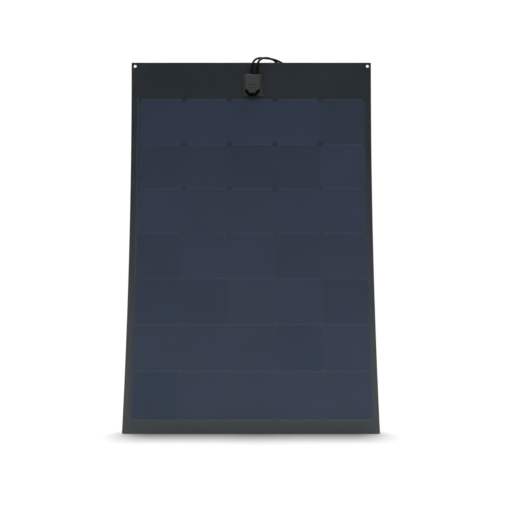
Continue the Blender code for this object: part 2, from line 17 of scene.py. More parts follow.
import bmesh
import bpy
from mathutils import Matrix, Vector, noise
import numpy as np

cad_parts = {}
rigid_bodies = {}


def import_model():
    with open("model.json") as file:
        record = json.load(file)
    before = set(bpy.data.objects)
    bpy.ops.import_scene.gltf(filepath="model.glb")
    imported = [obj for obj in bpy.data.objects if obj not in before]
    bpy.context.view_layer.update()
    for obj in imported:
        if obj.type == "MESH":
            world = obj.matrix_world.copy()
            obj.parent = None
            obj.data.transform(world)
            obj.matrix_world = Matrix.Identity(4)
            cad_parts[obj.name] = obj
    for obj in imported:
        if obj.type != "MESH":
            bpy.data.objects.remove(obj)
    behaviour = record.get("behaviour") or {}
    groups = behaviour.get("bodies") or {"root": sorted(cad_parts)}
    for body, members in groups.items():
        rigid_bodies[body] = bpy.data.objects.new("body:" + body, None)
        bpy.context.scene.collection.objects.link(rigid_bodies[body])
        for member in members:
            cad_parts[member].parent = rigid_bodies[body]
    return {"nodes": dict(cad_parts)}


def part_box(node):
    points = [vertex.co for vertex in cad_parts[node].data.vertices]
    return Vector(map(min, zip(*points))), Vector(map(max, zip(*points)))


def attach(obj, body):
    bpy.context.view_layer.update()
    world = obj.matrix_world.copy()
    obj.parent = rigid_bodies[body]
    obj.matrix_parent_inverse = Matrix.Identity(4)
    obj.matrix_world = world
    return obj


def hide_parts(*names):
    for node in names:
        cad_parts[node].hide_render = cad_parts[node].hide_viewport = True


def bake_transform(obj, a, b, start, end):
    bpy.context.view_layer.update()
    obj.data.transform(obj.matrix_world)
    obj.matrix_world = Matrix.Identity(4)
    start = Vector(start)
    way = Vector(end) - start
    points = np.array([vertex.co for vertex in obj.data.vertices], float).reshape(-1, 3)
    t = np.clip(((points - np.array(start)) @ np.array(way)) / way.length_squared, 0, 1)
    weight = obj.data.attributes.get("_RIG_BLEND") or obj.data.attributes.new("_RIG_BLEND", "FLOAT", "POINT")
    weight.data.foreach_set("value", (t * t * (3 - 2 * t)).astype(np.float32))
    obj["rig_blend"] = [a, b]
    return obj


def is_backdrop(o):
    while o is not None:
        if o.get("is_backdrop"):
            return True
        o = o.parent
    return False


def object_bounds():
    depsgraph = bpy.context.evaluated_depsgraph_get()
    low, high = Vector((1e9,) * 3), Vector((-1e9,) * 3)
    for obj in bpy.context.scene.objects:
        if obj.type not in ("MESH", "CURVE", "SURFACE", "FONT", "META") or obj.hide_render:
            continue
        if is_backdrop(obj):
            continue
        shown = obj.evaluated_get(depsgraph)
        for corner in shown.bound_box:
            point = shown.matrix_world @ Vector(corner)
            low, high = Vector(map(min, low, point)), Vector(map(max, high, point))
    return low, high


LOG = logging.getLogger("solar_sheet")
MM = 0.001
TONE_STOPS = (0.32, 0.7)  # where a finish's two tones stand on the slow noise
WAVE_SCALE = 3.2  # a wave texture's bands to a unit of its scale
DRAWN_STRETCH = 0.06  # how far a drawn surface's grain is pulled lengthwise
JOINED = 2e-6  # vertices nearer than this are one
ROOT = "upper_sheet"
LOWER = "lower_sheet"
Piece = bpy.types.Object
Shape = bmesh.types.BMesh
Point = tuple[float, float]
Place = tuple[float, float, float]
Outline = Sequence[Point]


# ---- finishes ----


def linear(colour: str) -> tuple[float, float, float, float]:
    """Turn an sRGB hex value into linear red, green, blue and alpha.

    Args:
        colour: six hex digits after a hash.

    Returns:
        The linear colour, with alpha 1.
    """
    channels = [int(colour[i : i + 2], 16) / 255 for i in (1, 3, 5)]
    made = [c / 12.92 if c <= 0.04045 else ((c + 0.055) / 1.055) ** 2.4 for c in channels]
    return (made[0], made[1], made[2], 1.0)


def add_node(tree, kind: str, settings: dict | None = None, links: dict | None = None):
    """Add one node to a material's tree.

    Args:
        tree: the node tree.
        kind: the node's Blender type, after ShaderNode.
        settings: attributes, or input names with plain values.
        links: input names or numbers, each with the output that feeds it.

    Returns:
        The new node.
    """
    made = tree.nodes.new(f"ShaderNode{kind}")
    for name, value in (settings or {}).items():
        if isinstance(name, str) and hasattr(made, name) and name not in made.inputs:
            setattr(made, name, value)
        else:
            made.inputs[name].default_value = value
    for name, output in (links or {}).items():
        tree.links.new(output, made.inputs[name])
    return made


class Grain(Enum):
    """The kinds of surface grain that the finishes use."""

    SPECKLE = "speckle"
    WEAVE = "weave"
    PEBBLE = "pebble"
    DRAWN = "drawn"


@dataclass(frozen=True)
class Finish:
    """One real material, as its surface was made.

    Sizes are in millimetres. mottle is the slow drift of tone over the surface and
    grain the fine relief; on_sheet reads them along the laid-flat sheet. foot is a lighter
    colour painted towards the sheet's foot as painted light, and foot_span where it starts and ends.
    """

    name: str
    colour: str
    drift: str
    mottle: float
    roughness: float
    spread: float
    grain: float
    depth: float
    kind: Grain = Grain.SPECKLE
    metallic: float = 0.0
    ior: float = 1.5
    coat: float = 0.0
    coat_roughness: float = 0.1
    alpha: float = 1.0
    on_sheet: bool = False
    foot: str = ""
    foot_span: tuple[float, float] = (0.1, 0.9)

    def make(self) -> bpy.types.Material:
        """Build the material's nodes.

        Returns:
            The material.
        """
        made = bpy.data.materials.new(self.name)
        made.use_nodes = True
        tree = made.node_tree
        shader = tree.nodes["Principled BSDF"]
        for socket, value in (
            ("Metallic", self.metallic), ("IOR", self.ior), ("Alpha", self.alpha),
            ("Coat Weight", self.coat), ("Coat Roughness", self.coat_roughness),
        ):
            shader.inputs[socket].default_value = value
        where = add_node(tree, "TexCoord")
        place = where.outputs["UV" if self.on_sheet else "Object"]
        drifts = {"Scale": 1.0 / (self.mottle * MM), "Detail": 3.0, "Roughness": 0.55}
        slow = add_node(tree, "TexNoise", drifts, {"Vector": place})
        ramp = add_node(tree, "ValToRGB", links={"Fac": slow.outputs["Fac"]})
        stops = zip(ramp.color_ramp.elements, TONE_STOPS, (self.colour, self.drift))
        for stop, position, tone in stops:
            stop.position, stop.color = position, linear(tone)
        colour = ramp.outputs["Color"]
        # painted light: the colour turns lighter towards the sheet's foot
        if self.foot:
            colour = self.painted_foot_light(tree, place, colour)
        tree.links.new(colour, shader.inputs["Base Color"])
        height = self.relief(tree, place)
        limits = {"To Min": self.roughness - self.spread, "To Max": self.roughness + self.spread}
        gloss = add_node(tree, "MapRange", limits, {"Value": slow.outputs["Fac"]})
        tree.links.new(gloss.outputs["Result"], shader.inputs["Roughness"])
        relief = {"Strength": 1.0, "Distance": self.depth * MM}
        bump = add_node(tree, "Bump", relief, {"Height": height})
        tree.links.new(bump.outputs["Normal"], shader.inputs["Normal"])
        return made

    def painted_foot_light(self, tree, place, colour):
        """Paint light onto a colour: it turns lighter from the sheet's head to its foot.

        Args:
            tree: the node tree.
            place: the output that gives the place on the flat sheet.
            colour: the output that gives the colour at the head.

        Returns:
            The output that gives the colour with its painted light.
        """
        parts = add_node(tree, "SeparateXYZ", links={"Vector": place})
        head, foot = self.foot_span
        span = {"From Min": -head, "From Max": -foot, "interpolation_type": "SMOOTHSTEP"}
        share = add_node(tree, "MapRange", span, {"Value": parts.outputs["Y"]})
        feeds = {"Fac": share.outputs["Result"], "Color1": colour}
        mixed = add_node(tree, "MixRGB", {"Color2": linear(self.foot)}, feeds)
        return mixed.outputs["Color"]

    def relief(self, tree, place):
        """Add the nodes of the fine relief.

        Args:
            tree: the node tree.
            place: the output that gives the coordinates.

        Returns:
            The output that gives the height, from 0 to 1.
        """
        scale = 1.0 / (self.grain * MM)
        if self.kind is Grain.PEBBLE:
            pebbles = {"Scale": scale, "feature": "SMOOTH_F1"}
            cells = add_node(tree, "TexVoronoi", pebbles, {"Vector": place})
            return cells.outputs["Distance"]
        if self.kind is Grain.WEAVE:
            threads = {}
            for index, way in enumerate(("X", "Y")):
                bands = {"bands_direction": way, "Scale": scale / WAVE_SCALE}
                bands |= {"Distortion": 0.6, "Detail": 1.0}
                wave = add_node(tree, "TexWave", bands, {"Vector": place})
                threads[index] = wave.outputs["Fac"]
            crossed = add_node(tree, "Math", {"operation": "MAXIMUM"}, threads)
            return crossed.outputs["Value"]
        if self.kind is Grain.DRAWN:
            stretch = {"Scale": (1.0, 1.0, DRAWN_STRETCH)}
            stretched = add_node(tree, "Mapping", stretch, {"Vector": place})
            place = stretched.outputs["Vector"]
        grains = {"Scale": scale, "Detail": 2.0}
        fine = add_node(tree, "TexNoise", grains, {"Vector": place})
        return fine.outputs["Fac"]


# Clear fluoropolymer film, embossed in the laminator: a satin skin with a fine pebble,
# drawn at 1.2 mm so that it shows.
TEXTURED_FILM = Finish(
    "textured_film", "#343a42", "#3a4048", 160, 0.4, 0.04, 1.2, 0.012,
    kind=Grain.PEBBLE, ior=1.42, alpha=0.13, on_sheet=True,
)
# Clear cured encapsulant: nearly invisible, seen at its edge.
CLEAR_ENCAPSULANT = Finish(
    "clear_encapsulant", "#4a5056", "#525860", 90, 0.3, 0.04, 4.0, 0.02,
    ior=1.48, alpha=0.04, on_sheet=True,
)
# Black pigmented encapsulant: even, slightly blue under the film; painted light makes it lighter towards the
# sheet's foot.
BLACK_ENCAPSULANT = Finish(
    "black_encapsulant", "#39444e", "#424d57", 140, 0.46, 0.05, 3.0, 0.006,
    ior=1.48, coat=0.25, coat_roughness=0.34, on_sheet=True, foot="#696e72",
)
# Glass-fibre board, pressed: a matt black plain weave at about 1.6 mm a thread.
FIBRE_BOARD = Finish(
    "fibre_board", "#1a1c1e", "#24262a", 60, 0.55, 0.08, 1.6, 0.06,
    kind=Grain.WEAVE, on_sheet=True,
)
# Tinned copper ribbon under film: drawn, dulled, dark between its highlights.
TINNED_RIBBON = Finish(
    "tinned_ribbon", "#767d85", "#878e96", 12, 0.42, 0.08, 0.9, 0.02,
    kind=Grain.DRAWN, metallic=1.0, on_sheet=True,
)
# Bright tin on the cells' solder tabs: it shows as pale lines in the gaps.
BRIGHT_TIN = Finish(
    "bright_tin", "#8b9197", "#9ea4a9", 8, 0.4, 0.06, 0.6, 0.01,
    kind=Grain.DRAWN, metallic=1.0, on_sheet=True,
)
# Copper ribbon in black enamel: satin, nearly lost against the black layer; painted light makes it lighter
# towards the sheet's foot.
ENAMELLED_RIBBON = Finish(
    "enamelled_ribbon", "#414c57", "#4b5661", 12, 0.42, 0.06, 0.9, 0.01,
    on_sheet=True, foot="#75797c",
)
# Blue-tinted glass-fibre tape that holds the strings side by side.
TINTED_TAPE = Finish(
    "tinted_tape", "#55637b", "#5e6c84", 20, 0.5, 0.06, 0.8, 0.01,
    kind=Grain.WEAVE, ior=1.48, on_sheet=True,
)
# Near-black band round the lid's foot: painted shade, standing in for the shadow where the lid's lower wall
# meets the flange.
PAINTED_SHADE_BLACK = Finish("painted_shade_black", "#030404", "#070808", 5, 0.8, 0.05, 0.5, 0.04, ior=1.2)
# Tinned brass terminal clips in the box: bright, faintly yellow.
TINNED_CLIP = Finish(
    "tinned_clip", "#a9a596", "#c2bdac", 6, 0.3, 0.06, 0.5, 0.02, kind=Grain.DRAWN, metallic=1.0,
)
# Glass-filled box moulding, spark-eroded tool: grey with a green cast, matt.
BOX_MOULDING = Finish(
    "box_moulding", "#454b49", "#505654", 9, 0.48, 0.06, 0.7, 0.05, ior=1.57,
)
# Silicone sealant under the box: black, rubbery, slightly shiny. The same black is drawn on the lid as two
# lines of painted shade, standing in for the shade in its grooves.
SEALANT_AND_GROOVE_SHADE = Finish("sealant", "#1b1d1e", "#232526", 8, 0.38, 0.06, 1.4, 0.08, ior=1.41)
# Silicone cord seal in the lid: light grey and matt.
SEAL_RUBBER = Finish("seal_rubber", "#8a8d8c", "#969998", 5, 0.62, 0.05, 0.5, 0.03, ior=1.41)
# Thermoplastic rubber boots: black, dusty sheen.
BOOT_RUBBER = Finish("boot_rubber", "#060808", "#0c0e0e", 6, 0.66, 0.06, 0.5, 0.04, ior=1.35)
# Cross-linked cable jacket, extruded: satin black with faint lengthwise streaks.
CABLE_JACKET = Finish(
    "cable_jacket", "#050607", "#0b0d0e", 8, 0.5, 0.07, 0.6, 0.03, kind=Grain.DRAWN, ior=1.38,
)
# Connector nylon: black, moulded satin.
CONNECTOR_NYLON = Finish("connector_nylon", "#0f1112", "#191b1d", 7, 0.4, 0.06, 0.6, 0.03, ior=1.53)
# Black epoxy of the bypass diodes and their silver band.
DIODE_EPOXY = Finish("diode_epoxy", "#141517", "#1c1d1f", 3, 0.34, 0.05, 0.3, 0.02)
DIODE_BAND = Finish("diode_band", "#b9bcbe", "#cdd0d2", 3, 0.38, 0.05, 0.3, 0.01)
# Tin-plated contact pin and sleeve.
CONTACT_TIN = Finish(
    "contact_tin", "#b4b6b6", "#cccecd", 3, 0.22, 0.05, 0.3, 0.01, kind=Grain.DRAWN, metallic=1.0,
)


def wafer_finish(name: str, colour: str, drift: str) -> Finish:
    """Back-contact silicon under its blue-black coat: very even, softly glossy.

    Args:
        name: the finish's name.
        colour: the tone that most of the wafer has.
        drift: the tone that it drifts to.

    Returns:
        The finish.
    """
    return Finish(
        name, colour, drift, 110, 0.4, 0.04, 2.5, 0.004,
        ior=1.45, coat=0.3, coat_roughness=0.32, on_sheet=True,
    )


# Three tones, because no two wafers' coats come out quite alike.
WAFERS = (
    wafer_finish("wafer_mid", "#4f5f7b", "#556582"),
    wafer_finish("wafer_dark", "#4a5b77", "#50617e"),
    wafer_finish("wafer_blue", "#505f80", "#566687"),
)


class Palette:
    """Makes each finish's material once."""

    def __init__(self) -> None:
        """Start with no material made."""
        self.made: dict[str, bpy.types.Material] = {}

    def dress(self, piece: Piece, finish: Finish) -> None:
        """Give a piece one finish in place of what it has."""
        if finish.name not in self.made:
            self.made[finish.name] = finish.make()
        piece.data.materials.clear()
        piece.data.materials.append(self.made[finish.name])

    def fit(
        self, piece: Piece, finish: Finish, slot: str,
        body: str | None = ROOT, replaced: Sequence[str] = (),
    ) -> Piece:
        """Args:
            piece: the piece.
            finish: its one finish.
            slot: its slot; not used.
            body: the body that it rides on, or None where it bends instead.
            replaced: the CAD nodes that it stands for.

        Returns:
            The same piece.
        """
        self.dress(piece, finish)
        if replaced:
            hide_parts(*replaced)
        if body:
            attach(piece, body)
        return piece


# ---- shapes ----


def link(made: Piece) -> None:
    """Put an object in the scene."""
    bpy.context.scene.collection.objects.link(made)


def verts_of(grown: dict) -> list:
    """The vertices among what a bmesh operator made."""
    return [v for v in grown["geom"] if isinstance(v, bmesh.types.BMVert)]


def plate(outline: Outline, low: float, high: float, holes: Iterable[Outline] = ()) -> Shape:
    """A flat plate with straight walls.

    Args:
        outline: its outer corners in X and Y.
        low: the height of its underside.
        high: the height of its upper side.
        holes: the corners of each opening right through it.

    Returns:
        The plate's bmesh.
    """
    bm = bmesh.new()
    for loop in (outline, *holes):
        corners = [bm.verts.new((x, y, low)) for x, y in loop]
        for first, second in zip(corners, corners[1:] + corners[:1]):
            bm.edges.new((first, second))
    bmesh.ops.triangle_fill(bm, edges=bm.edges, use_beauty=True)
    grown = bmesh.ops.extrude_face_region(bm, geom=bm.faces[:])
    bmesh.ops.translate(bm, verts=verts_of(grown), vec=(0.0, 0.0, high - low))
    bmesh.ops.recalc_face_normals(bm, faces=bm.faces)
    return bm


def rounded(
    width: float, height: float, radius: float, middle: Point = (0.0, 0.0), steps: int = 6
) -> list[Point]:
    """A rectangle's outline with round corners, anticlockwise."""
    points = []
    for turn, (sx, sy) in enumerate(((1, 1), (-1, 1), (-1, -1), (1, -1))):
        for step in range(steps + 1):
            angle = math.pi / 2 * (turn + step / steps)
            x = middle[0] + sx * (width / 2 - radius) + radius * math.cos(angle)
            points.append((x, middle[1] + sy * (height / 2 - radius) + radius * math.sin(angle)))
    return points


def circle(radius: float, middle: Point, steps: int = 40) -> list[Point]:
    """A circle's outline."""
    turns = [2 * math.pi * i / steps for i in range(steps)]
    return [(middle[0] + radius * math.cos(a), middle[1] + radius * math.sin(a)) for a in turns]


def cut_across(bm: Shape, axis: int, places: Iterable[float]) -> None:
    """Slice a bmesh by planes square to an axis, keeping both sides."""
    normal = Vector((0.0, 0.0, 0.0))
    normal[axis] = 1.0
    for place in places:
        geom = bm.verts[:] + bm.edges[:] + bm.faces[:]
        bmesh.ops.bisect_plane(bm, geom=geom, plane_co=normal * place, plane_no=normal, dist=1e-6)


def turned(profile: Outline, steps: int = 48, closed: bool = True) -> Shape:
    """A profile of (radius, height) spun about Z.

    Args:
        profile: its points.
        steps: how many steps go round.
        closed: whether the profile's last point joins its first.

    Returns:
        The turned bmesh.
    """
    bm = bmesh.new()
    verts = [bm.verts.new((radius, 0.0, height)) for radius, height in profile]
    pairs = list(zip(verts, verts[1:])) + ([(verts[-1], verts[0])] if closed else [])
    edges = [bm.edges.new(pair) for pair in pairs]
    bmesh.ops.spin(
        bm, geom=verts + edges, cent=(0, 0, 0), axis=(0, 0, 1),
        angle=2 * math.pi, steps=steps, use_merge=True,
    )
    bmesh.ops.remove_doubles(bm, verts=bm.verts, dist=1e-6)
    bmesh.ops.recalc_face_normals(bm, faces=bm.faces)
    return bm


def finish_object(name: str, bm: Shape, matrix: Matrix | None = None, sharp: float = 35) -> Piece:
    """Make a piece of a bmesh, with its place in its mesh.

    Args:
        name: the piece's name.
        bm: its bmesh, which is freed.
        matrix: where it goes.
        sharp: the angle in degrees above which an edge stays sharp.

    Returns:
        The object.
    """
    if matrix is not None:
        bmesh.ops.transform(bm, matrix=matrix, verts=bm.verts)
    mesh = bpy.data.meshes.new(name)
    bm.to_mesh(mesh)
    bm.free()
    mesh.shade_smooth()
    mesh.set_sharp_from_angle(angle=math.radians(sharp))
    made = bpy.data.objects.new(name, mesh)
    link(made)
    return made


def soften(piece: Piece, width: float, segments: int = 3, angle: float = 35) -> None:
    """Round a piece's sharp edges with a live Bevel."""
    bevel = piece.modifiers.new("soft_edges", "BEVEL")
    bevel.width = width
    bevel.segments = segments
    bevel.limit_method = "ANGLE"
    bevel.angle_limit = math.radians(angle)
    bevel.use_clamp_overlap = True
    bevel.harden_normals = True


def copy_of(node: Piece, name: str) -> Piece:
    """A clean copy of a CAD node: its triangles merged and its flat faces made whole."""
    bm = bmesh.new()
    bm.from_mesh(node.data)
    bmesh.ops.remove_doubles(bm, verts=bm.verts, dist=JOINED)
    bmesh.ops.dissolve_limit(bm, angle_limit=math.radians(1.0), verts=bm.verts, edges=bm.edges)
    return finish_object(name, bm)


# ---- the bowed sheet ----


@dataclass
class SheetPlan:
    """The sheet's sizes laid flat, and the bow that it hangs in."""

    bow_radius: float = 3.3
    length: float = 1.022
    top_margin: float = 0.105
    row_pitch: float = 0.126
    column_pitch: float = 0.127
    cell: float = 0.125
    cell_clip: float = 0.0075
    cells_shift: float = 0.0025
    rows: int = 7
    columns: int = 5
    bend_after: int = 4
    bend_zone: float = 0.27
    hole_radius: float = 0.004
    hole_inset: float = 0.01
    corner: float = 0.003
    strip: float = 0.018
    width: float = field(init=False)

    def __post_init__(self) -> None:
        """Read the width from the frame."""
        low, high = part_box("front_film")
        self.width = high[0] - low[0]

    @property
    def half_gap(self) -> float:
        """Half the gap between two rows of cells."""
        return (self.row_pitch - self.cell) / 2

    @property
    def start_angle(self) -> float:
        """How far the top edge leans back; the middle of the top margin is upright."""
        return (self.top_margin - self.half_gap) / 2 / self.bow_radius

    @property
    def bend_down(self) -> float:
        """How far down the sheet the bend line lies."""
        return self.top_margin - self.half_gap + self.bend_after * self.row_pitch

    def column_x(self, column: int) -> float:
        """The middle of a column of cells, counted from 0."""
        return self.cells_shift + (column - (self.columns - 1) / 2) * self.column_pitch

    def row_down(self, row: int) -> float:
        """The middle of a row of cells, counted from 0."""
        return self.top_margin + row * self.row_pitch + self.cell / 2

    def place(self, x: float, down: float, depth: float) -> Vector:
        """A point across, down along the sheet, and forward of its rear face."""
        angle = down / self.bow_radius - self.start_angle
        y = self.bow_radius * (math.cos(angle) - math.cos(self.start_angle))
        z = self.hole_inset - self.bow_radius * (math.sin(angle) + math.sin(self.start_angle))
        return Vector((x, y - depth * math.cos(angle), z + depth * math.sin(angle)))

    def wrap(self, name: str, bm: Shape, sharp: float = 30) -> Piece:
        """Lay a flat bmesh onto the bow, with a UV map of its flat place in metres.

        Args:
            name: the piece's name.
            bm: the flat bmesh, which is freed.
            sharp: the angle in degrees above which an edge stays sharp.

        Returns:
            The piece.
        """
        heights = [v.co.y for v in bm.verts]
        low, span = min(heights), max(heights) - min(heights)
        count = int(span / self.strip)
        cut_across(bm, 1, [low + span * i / (count + 1) for i in range(1, count + 1)])
        flat = bm.loops.layers.uv.new("flat")
        for face in bm.faces:
            for loop in face.loops:
                loop[flat].uv = (loop.vert.co.x, loop.vert.co.y)
        for vert in bm.verts:
            vert.co = self.place(vert.co.x, -vert.co.y, vert.co.z)
        return finish_object(name, bm, sharp=sharp)

    def bend(self, piece: Piece) -> None:
        """Let a piece bend with the sheet about its bend line."""
        start = self.place(0.0, self.bend_down - self.bend_zone, 0.0)
        end = self.place(0.0, self.bend_down + self.bend_zone, 0.0)
        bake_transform(piece, ROOT, LOWER, start=tuple(start), end=tuple(end))


@dataclass
class Laminate:
    """The thin layers behind and in front of the cells."""

    plan: SheetPlan
    palette: Palette
    board: Point = (0.0, 0.0015)
    rear: Point = (0.00153, 0.0019)
    front: Point = (0.00226, 0.0025)
    film: Point = (0.00253, 0.00285)
    sink: float = 0.00005
    sink_reach: float = 0.0026
    slot: Place = (0.0034, 0.03, 0.005)
    slot_radius: float = 0.0008
    slot_down: float = 0.08

    def layer(self, name: str, depths: Point, slotted: bool) -> Shape:
        """A whole layer, laid flat, with its corner holes."""
        plan = self.plan
        inset = plan.hole_inset
        outline = rounded(plan.width, plan.length, plan.corner, (0.0, -plan.length / 2))
        side = plan.width / 2 - inset
        holes = [circle(plan.hole_radius, (sign * side, -inset)) for sign in (-1, 1)]
        if slotted:
            x, width, height = self.slot
            holes.append(rounded(width, height, self.slot_radius, (x, -self.slot_down), 3))
        LOG.info("layer %s from %.2f to %.2f mm", name, depths[0] / MM, depths[1] / MM)
        return plate(outline, depths[0], depths[1], holes)

    def sink_gaps(self, bm: Shape) -> None:
        """Let the film sink a little into the gaps round each cell."""
        plan, reach = self.plan, self.sink_reach
        gaps_x = [plan.column_x(0) + (c - 0.5) * plan.column_pitch for c in range(plan.columns + 1)]
        gaps_y = [-(plan.row_down(0) + (r - 0.5) * plan.row_pitch) for r in range(plan.rows + 1)]
        shifts = (-reach, -reach / 2, 0.0, reach / 2, reach)
        for gaps, axis in ((gaps_x, 0), (gaps_y, 1)):
            cut_across(bm, axis, [gap + shift for gap in gaps for shift in shifts])
        top = max(v.co.z for v in bm.verts)
        span_x = (gaps_x[0] - reach, gaps_x[-1] + reach)
        span_y = (gaps_y[-1] - reach, gaps_y[0] + reach)
        for vert in bm.verts:
            x, y, z = vert.co
            inside = span_x[0] < x < span_x[1] and span_y[0] < y < span_y[1]
            if z < top - JOINED / 2 or not inside:
                continue
            near = min([abs(x - gap) for gap in gaps_x] + [abs(y - gap) for gap in gaps_y])
            share = max(0.0, 1.0 - near / reach)
            vert.co.z -= self.sink * share * share * (3 - 2 * share)

    def build(self) -> None:
        """Make and dress the four layers."""
        halves, rear = ("backing_board_upper", "backing_board_lower"), ("rear_encapsulant",)
        rows = (
            ("backing_board", self.board, False, FIBRE_BOARD, "board", halves),
            ("black_layer", self.rear, False, BLACK_ENCAPSULANT, "encapsulant", rear),
            ("clear_layer", self.front, True, CLEAR_ENCAPSULANT, "film", ()),
            ("top_film", self.film, True, TEXTURED_FILM, "film", ("front_film",)),
        )
        for name, depths, slotted, finish, slot, replaced in rows:
            flat = self.layer(name, depths, slotted)
            if name == "top_film":
                self.sink_gaps(flat)
            piece = self.plan.wrap(name, flat)
            self.plan.bend(self.palette.fit(piece, finish, slot, None, replaced))


@dataclass
class Strings:
    """The cells, and the ribbons that put them in series."""

    plan: SheetPlan
    palette: Palette
    wafer: Point = (0.002, 0.0022)
    ribbon: Point = (0.002, 0.0022)
    tab: Point = (0.00192, 0.00199)
    tab_width: float = 0.034
    tab_reach: float = 0.0031
    tab_spots: tuple[float, ...] = (-0.038, 0.0, 0.038)
    tab_end: float = 1.3
    tape_half: float = 0.0019
    mask: Point = (0.00221, 0.00225)
    mask_top: float = 0.0862
    mask_gap: float = 0.0002
    mask_side: float = 0.001
    ribbon_width: float = 0.005
    clearance: float = 0.0015
    box_x: float = 0.0034
    terminal_pitch: float = 0.012
    slot_middle: float = 0.08
    tail: Place = (0.004, 0.0003, 0.0097)
    clip_curve: float = 0.46

    def wafer_outline(self, x: float, y: float) -> list[Point]:
        """A pseudo-square: a square with its corners clipped on a slight curve."""
        half, clip = self.plan.cell / 2, self.plan.cell_clip
        points = []
        for sx, sy in ((1, 1), (-1, 1), (-1, -1), (1, -1)):
            bow = half - clip * self.clip_curve
            ends = [(half, half - clip), (bow, bow), (half - clip, half)]
            ends = ends if sx * sy > 0 else ends[::-1]
            points += [(x + sx * px, y + sy * py) for px, py in ends]
        return points

    def wafers(self) -> None:
        """Make the cells, each with one of three close tones."""
        plan = self.plan
        for row in range(plan.rows):
            for column in range(plan.columns):
                x, y = plan.column_x(column), -plan.row_down(row)
                flat = plate(self.wafer_outline(x, y), *self.wafer)
                name = f"r{row + 1}_c{column + 1}"
                piece = plan.wrap(f"wafer_{name}", flat)
                drawn = abs(noise.noise(Vector((row * 1.7, column * 2.3, 0.5))))
                tone = WAFERS[int(drawn * 1000) % len(WAFERS)]
                plan.bend(self.palette.fit(piece, tone, "cell", None, (f"cell_{name}",)))

    def slab(self, bm: Shape, low: Point, high: Point, depths: Point) -> None:
        """Add one flat rectangle with thickness to a group."""
        made = bmesh.ops.create_cube(bm, size=1.0)["verts"]
        size = (high[0] - low[0], high[1] - low[1], depths[1] - depths[0])
        bmesh.ops.scale(bm, verts=made, vec=size)
        middle = ((low[0] + high[0]) / 2, (low[1] + high[1]) / 2, sum(depths) / 2)
        bmesh.ops.translate(bm, verts=made, vec=middle)

    def tabs(self) -> None:
        """Make the solder tabs behind the gaps, one group for each column.

        At the strings' ends they reach the link ribbon along that edge.
        """
        plan, reach = self.plan, self.tab_reach
        over = self.clearance * self.tab_end
        head, foot = -plan.top_margin, -(plan.row_down(plan.rows - 1) + plan.cell / 2)
        middles = [-(plan.row_down(row) + plan.row_pitch / 2) for row in range(plan.rows - 1)]
        spans = [(y - reach, y + reach) for y in middles]
        spans += [(head - reach, head + over), (foot - over, foot + reach)]
        for column in range(plan.columns):
            bm = bmesh.new()
            for low, high in spans:
                for spot in self.tab_spots:
                    left = plan.column_x(column) + spot - self.tab_width / 2
                    self.slab(bm, (left, low), (left + self.tab_width, high), self.tab)
            piece = plan.wrap(f"interconnects_c{column + 1}", bm)
            plan.bend(self.palette.fit(piece, BRIGHT_TIN, "ribbon", None))

    def tapes(self) -> None:
        """Make the tapes behind the gaps between columns, one group for each gap."""
        plan, half = self.plan, self.tape_half
        reach = plan.cell / 2 - plan.cell_clip - 0.0005
        for gap in range(plan.columns - 1):
            bm = bmesh.new()
            x = plan.column_x(gap) + plan.column_pitch / 2
            for row in range(plan.rows):
                y = -plan.row_down(row)
                self.slab(bm, (x - half, y - reach), (x + half, y + reach), self.tab)
            piece = plan.wrap(f"string_tape_{gap + 1}", bm)
            plan.bend(self.palette.fit(piece, TINTED_TAPE, "film", None))

    def span(self, first: int, last: int) -> Point:
        """The width that the cells of these columns cover, short of their clipped corners."""
        plan = self.plan
        reach = plan.cell / 2 - plan.cell_clip
        return plan.column_x(first - 1) - reach, plan.column_x(last - 1) + reach

    def strip(self, name: str, outline: Outline, replaced: str, bends: bool) -> None:
        """Make one flat ribbon."""
        piece = self.plan.wrap(name, plate(outline, *self.ribbon))
        finish = TINNED_RIBBON if name == "return_ribbon" else ENAMELLED_RIBBON
        self.palette.fit(piece, finish, "ribbon", None if bends else ROOT, (replaced,))
        if bends:
            self.plan.bend(piece)

    def turned_up(self, name: str, x: float) -> None:
        """Make the end of a ribbon that turns up through the slot to its terminal."""
        width, thick, height = self.tail
        low = (x - width / 2, -self.slot_middle)
        high = (x + width / 2, thick - self.slot_middle)
        bm = bmesh.new()
        self.slab(bm, low, high, (self.ribbon[1], height))
        self.palette.fit(self.plan.wrap(name, bm), TINNED_RIBBON, "ribbon")

    def ribbons(self) -> None:
        """Make the links and the two ribbons that lead to the box."""
        plan, width, gap = self.plan, self.ribbon_width, self.clearance
        link_low = -(plan.top_margin - gap)
        link_high = link_low + width
        lead_low = link_high + gap
        lead_high = lead_low + width
        foot_high = -(plan.row_down(plan.rows - 1) + plan.cell / 2 + gap)
        foot_low = foot_high - width
        slot = -self.slot_middle
        for name, first, last in (("foot_link_2_3", 2, 3), ("foot_link_4_5", 4, 5)):
            a, b = self.span(first, last)
            outline = ((a, foot_low), (b, foot_low), (b, foot_high), (a, foot_high))
            self.strip(name, outline, name.replace("foot_link", "link_bottom"), True)
        a, b = self.span(1, 2)
        outline = ((a, link_low), (b, link_low), (b, link_high), (a, link_high))
        self.strip("head_link_1_2", outline, "link_top_1_2", False)
        a, b = self.span(3, 4)
        low, high = self.box_x - width / 2, self.box_x + width / 2
        outline = (
            (a, link_low), (b, link_low), (b, link_high), (high, link_high),
            (high, slot), (low, slot), (low, link_high), (a, link_high),
        )
        self.strip("head_link_3_4", outline, "link_top_3_4", False)

